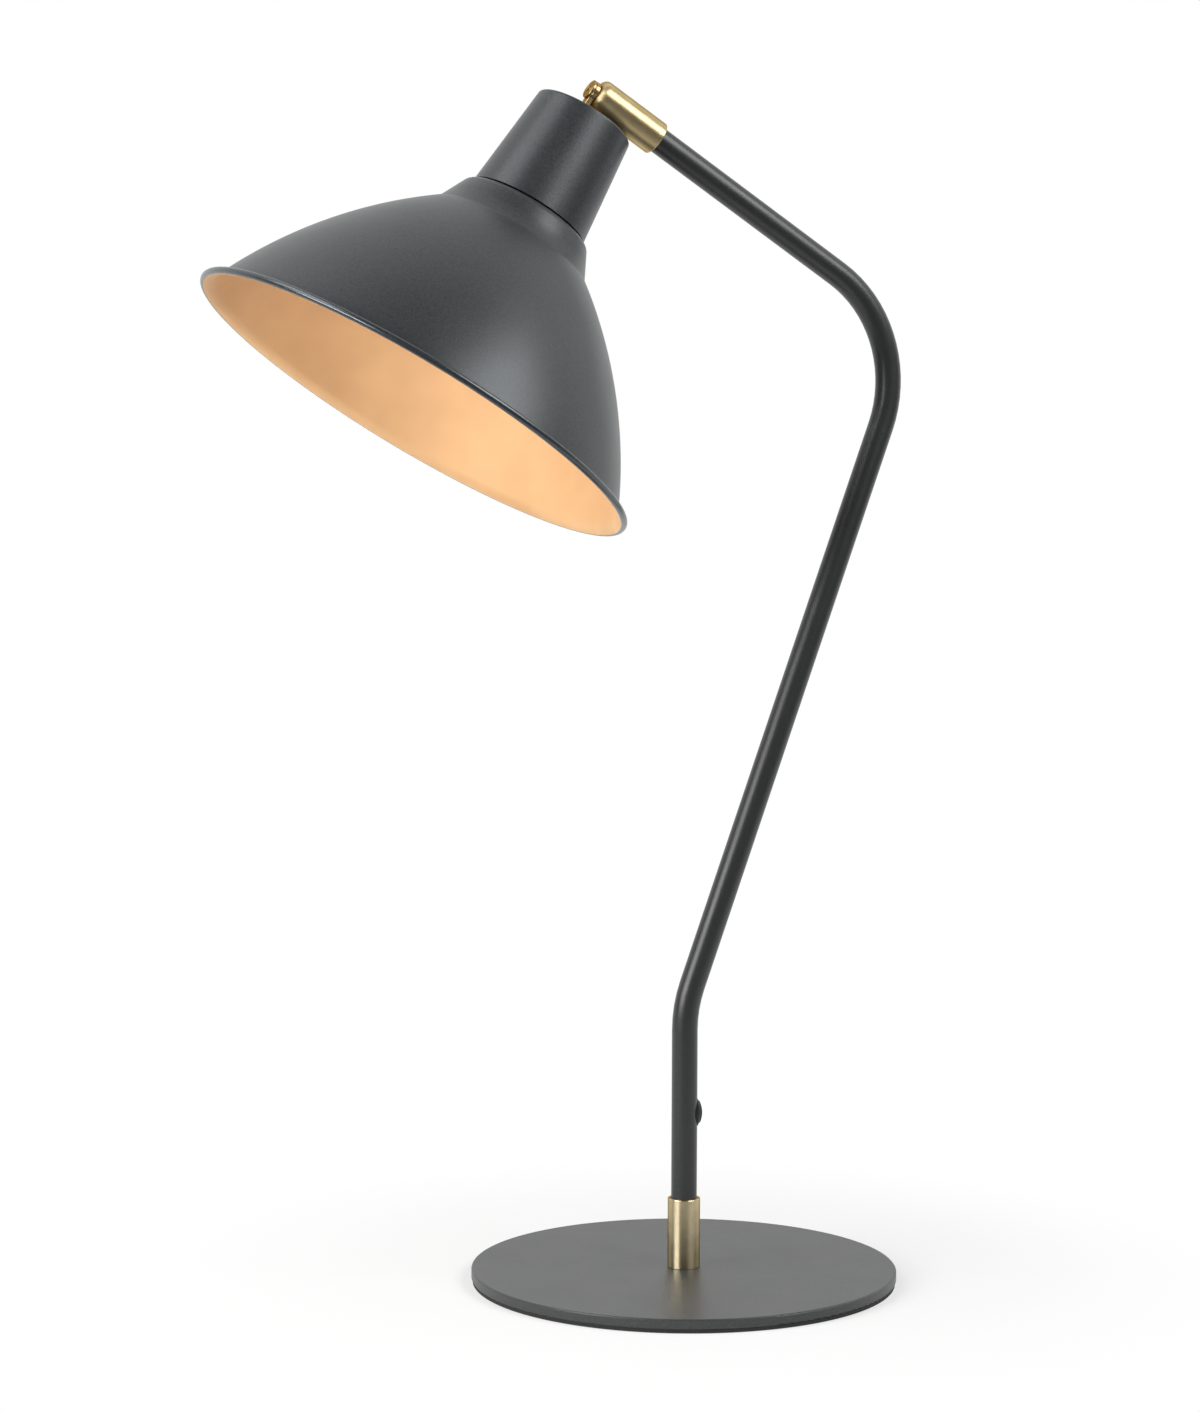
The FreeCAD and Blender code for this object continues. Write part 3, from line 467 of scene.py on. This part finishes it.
def background_rays(tree):
    """1 for the rays that show the background: camera, glossy and transmission rays."""
    path = tree.nodes.new("ShaderNodeLightPath")
    shown = path.outputs["Is Camera Ray"]
    for name in ("Is Glossy Ray", "Is Transmission Ray"):
        shown = combine(tree, "MAXIMUM", shown, path.outputs[name])
    return shown


def set_world():
    """White all round to the eye. In reflections the backdrop is white and the room dim."""
    world = bpy.data.worlds.new("studio")
    world.use_nodes = True
    tree = world.node_tree
    ambient = tree.nodes["Background"]
    set_inputs(ambient, {"Color": WHITE, "Strength": AMBIENT})
    white = add_node(tree, "ShaderNodeBackground", Color=WHITE, Strength=1.0)
    room = add_node(tree, "ShaderNodeBackground", Color=WHITE)
    way = tree.nodes.new("ShaderNodeTexCoord").outputs["Generated"]
    toward_back = vector_math(tree, "DOT_PRODUCT", way, BACKDROP_SIDE)
    tree.links.new(fade(tree, toward_back, 0.0, BACKDROP_FADE, ROOM, 1.0), room.inputs["Strength"])
    path = tree.nodes.new("ShaderNodeLightPath")
    reflected = mix_shaders(tree, path.outputs["Is Glossy Ray"], ambient.outputs[0], room.outputs[0])
    through = mix_shaders(tree, path.outputs["Is Transmission Ray"], reflected, white.outputs[0])
    seen = mix_shaders(tree, path.outputs["Is Camera Ray"], through, white.outputs[0])
    tree.links.new(seen, tree.nodes["World Output"].inputs["Surface"])
    scene.world = world


def make_floor():
    """Pale floor: white to the camera, with the lamp's soft shadow near its foot."""
    mesh = bmesh.new()
    bmesh.ops.create_circle(mesh, cap_ends=True, radius=FLOOR_RADIUS, segments=FLOOR_SEGMENTS)
    data = bpy.data.meshes.new("floor")
    mesh.to_mesh(data)
    mesh.free()
    floor = bpy.data.objects.new("floor", data)
    scene.collection.objects.link(floor)
    floor.location = Vector((-math.sin(CAMERA_YAW), math.cos(CAMERA_YAW), 0)) * FLOOR_BACK
    floor.location.z = cad_box[0][2] - FLOOR_GAP
    material, tree, surface = new_material("floor", Base_Color=FLOOR_COLOUR, Roughness=FLOOR_ROUGHNESS)
    white = add_node(tree, "ShaderNodeEmission", Color=WHITE, Strength=1.0)
    place = tree.nodes.new("ShaderNodeNewGeometry").outputs["Position"]
    distance = vector_math(tree, "LENGTH", place)
    clear = fade(tree, distance, FLOOR_SHADOW_START, FLOOR_SHADOW_REACH, 1 - FLOOR_SHADOW, 1.0)
    glow = combine(tree, "MULTIPLY", background_rays(tree), clear)
    seen = mix_shaders(tree, glow, surface.outputs["BSDF"], white.outputs["Emission"])
    tree.links.new(seen, tree.nodes["Material Output"].inputs["Surface"])
    data.materials.append(material)


def softbox(name, place, width, height, power):
    """Rectangular area light that faces the lamp."""
    light = bpy.data.lights.new(name, "AREA")
    light.shape = "RECTANGLE"
    light.size = width
    light.size_y = height
    light.energy = power
    lamp = bpy.data.objects.new(name, light)
    lamp.location = place
    lamp.rotation_euler = (LIGHT_AIM - Vector(place)).to_track_quat("-Z", "Y").to_euler()
    scene.collection.objects.link(lamp)


set_camera()
set_world()
make_floor()
softbox("left_low_box", (-1.49, -0.33, 0.58), width=1.0, height=0.5, power=17)
softbox("left_high_box", (-1.14, -0.02, 1.45), width=1.0, height=1.0, power=12)
softbox("right_box", (0.76, -0.98, 1.21), width=1.2, height=0.75, power=18)

graphite = paint(
    "graphite_paint", rgb(0.016, 0.0178, 0.0187), rgb(0.034, 0.037, 0.0393),
    rough=(0.33, 0.41), specular=0.58, relief=0.17, sheen=rgb(0.93, 0.98, 1.0))
bead_paint = paint(
    "bead_paint", rgb(0.018, 0.020, 0.021), rgb(0.030, 0.0335, 0.036),
    rough=(0.2, 0.26), specular=0.8, relief=0.02, sheen=rgb(0.86, 0.94, 1.0))
# Darker copy of the graphite paint for the stem tube: painted shade, set darker so the tube reads as
# dim as it does under this light; the lamp has one paint
shaded_stem_paint = paint(
    "shaded_stem_paint", rgb(0.018, 0.019, 0.0195), rgb(0.022, 0.0235, 0.024),
    rough=(0.31, 0.39), specular=0.55, relief=0.02)
# Lighter copy of the graphite paint for the base plate: painted light, standing in for the bright
# grazing reflection on its top; the lamp has one paint
lit_base_paint = paint(
    "lit_base_paint", rgb(0.027, 0.0287, 0.029), rgb(0.046, 0.0485, 0.049),
    rough=(0.375, 0.425), specular=0.47, relief=0.13)
copper = copper_paint()
brass_foot = turned_brass(
    "turned_brass_foot", Vector((0, 0, 0)), UP,
    rgb(0.60, 0.50, 0.31), rgb(0.75, 0.64, 0.42), rough=(0.27, 0.31))
brass_arm = turned_brass(
    "turned_brass_arm", SWIVEL, ARM,
    rgb(0.61, 0.49, 0.26), rgb(0.73, 0.59, 0.33), rough=(0.4, 0.44))
# Darker, browner copy of the turned brass for the swivel screw and eye: painted shade, standing in for
# the dim reflections that fall on the swivel; the lamp has one brass
shaded_swivel_brass = turned_brass(
    "shaded_swivel_turned_brass", SWIVEL, ARM,
    rgb(0.42, 0.28, 0.13), rgb(0.60, 0.43, 0.21), rough=(0.3, 0.36))
plastic = plain(
    "black_plastic", rgb(0.003, 0.0033, 0.004), rgb(0.006, 0.0066, 0.008),
    rough=(0.38, 0.48), scale=900.0, relief=0.03, specular=0.3)
bakelite = plain(
    "black_bakelite", rgb(0.008, 0.007, 0.007), rgb(0.016, 0.013, 0.012),
    rough=(0.16, 0.28), scale=300.0, relief=0.02)
foam = plain(
    "base_foam", rgb(0.014, 0.014, 0.014), rgb(0.028, 0.028, 0.028),
    rough=(0.8, 0.95), scale=2200.0, relief=0.5)
zinc = plain(
    "zinc_steel", rgb(0.52, 0.53, 0.55), rgb(0.63, 0.64, 0.65),
    rough=(0.24, 0.4), scale=500.0, relief=0.05, metallic=1.0)
nickel = plain(
    "plated_brass", rgb(0.66, 0.60, 0.47), rgb(0.74, 0.69, 0.57),
    rough=(0.2, 0.32), scale=400.0, relief=0.03, metallic=1.0)
tin = plain(
    "bulb_metal", rgb(0.60, 0.60, 0.61), rgb(0.70, 0.70, 0.71),
    rough=(0.25, 0.38), scale=600.0, relief=0.05, metallic=1.0)
fibre = plain(
    "dark_fibre", rgb(0.05, 0.04, 0.032), rgb(0.085, 0.07, 0.055),
    rough=(0.6, 0.75), scale=900.0, relief=0.3)
ceramic = plain(
    "white_ceramic", rgb(0.78, 0.76, 0.71), rgb(0.84, 0.82, 0.78),
    rough=(0.18, 0.3), scale=250.0, relief=0.05)
insulator = plain(
    "bulb_insulator", rgb(0.012, 0.012, 0.013), rgb(0.02, 0.02, 0.02),
    rough=(0.12, 0.2), scale=300.0, relief=0.02)
sleeve = plain(
    "lead_sleeve", rgb(0.55, 0.55, 0.53), rgb(0.66, 0.66, 0.63),
    rough=(0.45, 0.6), scale=700.0, relief=0.1)

make_shade(graphite, copper, bead_paint)
dress(graphite, "cup")
dress(shaded_stem_paint, "stem_tube")
dress(lit_base_paint, "base_plate")
dress(brass_foot, "lower_ferrule")
dress(brass_arm, "upper_ferrule")
dress(shaded_swivel_brass, "swivel_screw", "swivel_eye")
dress(plastic, "switch_body", "switch_bezel", "switch_button", "cord_bush")
dress(bakelite, "holder_cap", "holder_skirt", "shade_ring")
dress(foam, "base_pad")
dress(zinc, "base_screw", "ferrule_grub_screws", "cup_washer", "cup_nut", "spring_washer")
dress(nickel, "holder_screw_shell", "holder_contact", "holder_terminals")
dress(tin, "bulb_cap")
dress(fibre, "friction_washer")
dress(ceramic, "holder_insert")
dress(insulator, "bulb_contact")
dress(opal_glass(), "bulb_glass")
dress(sleeve, "stem_lead", "head_lead")

bpy.context.view_layer.update()
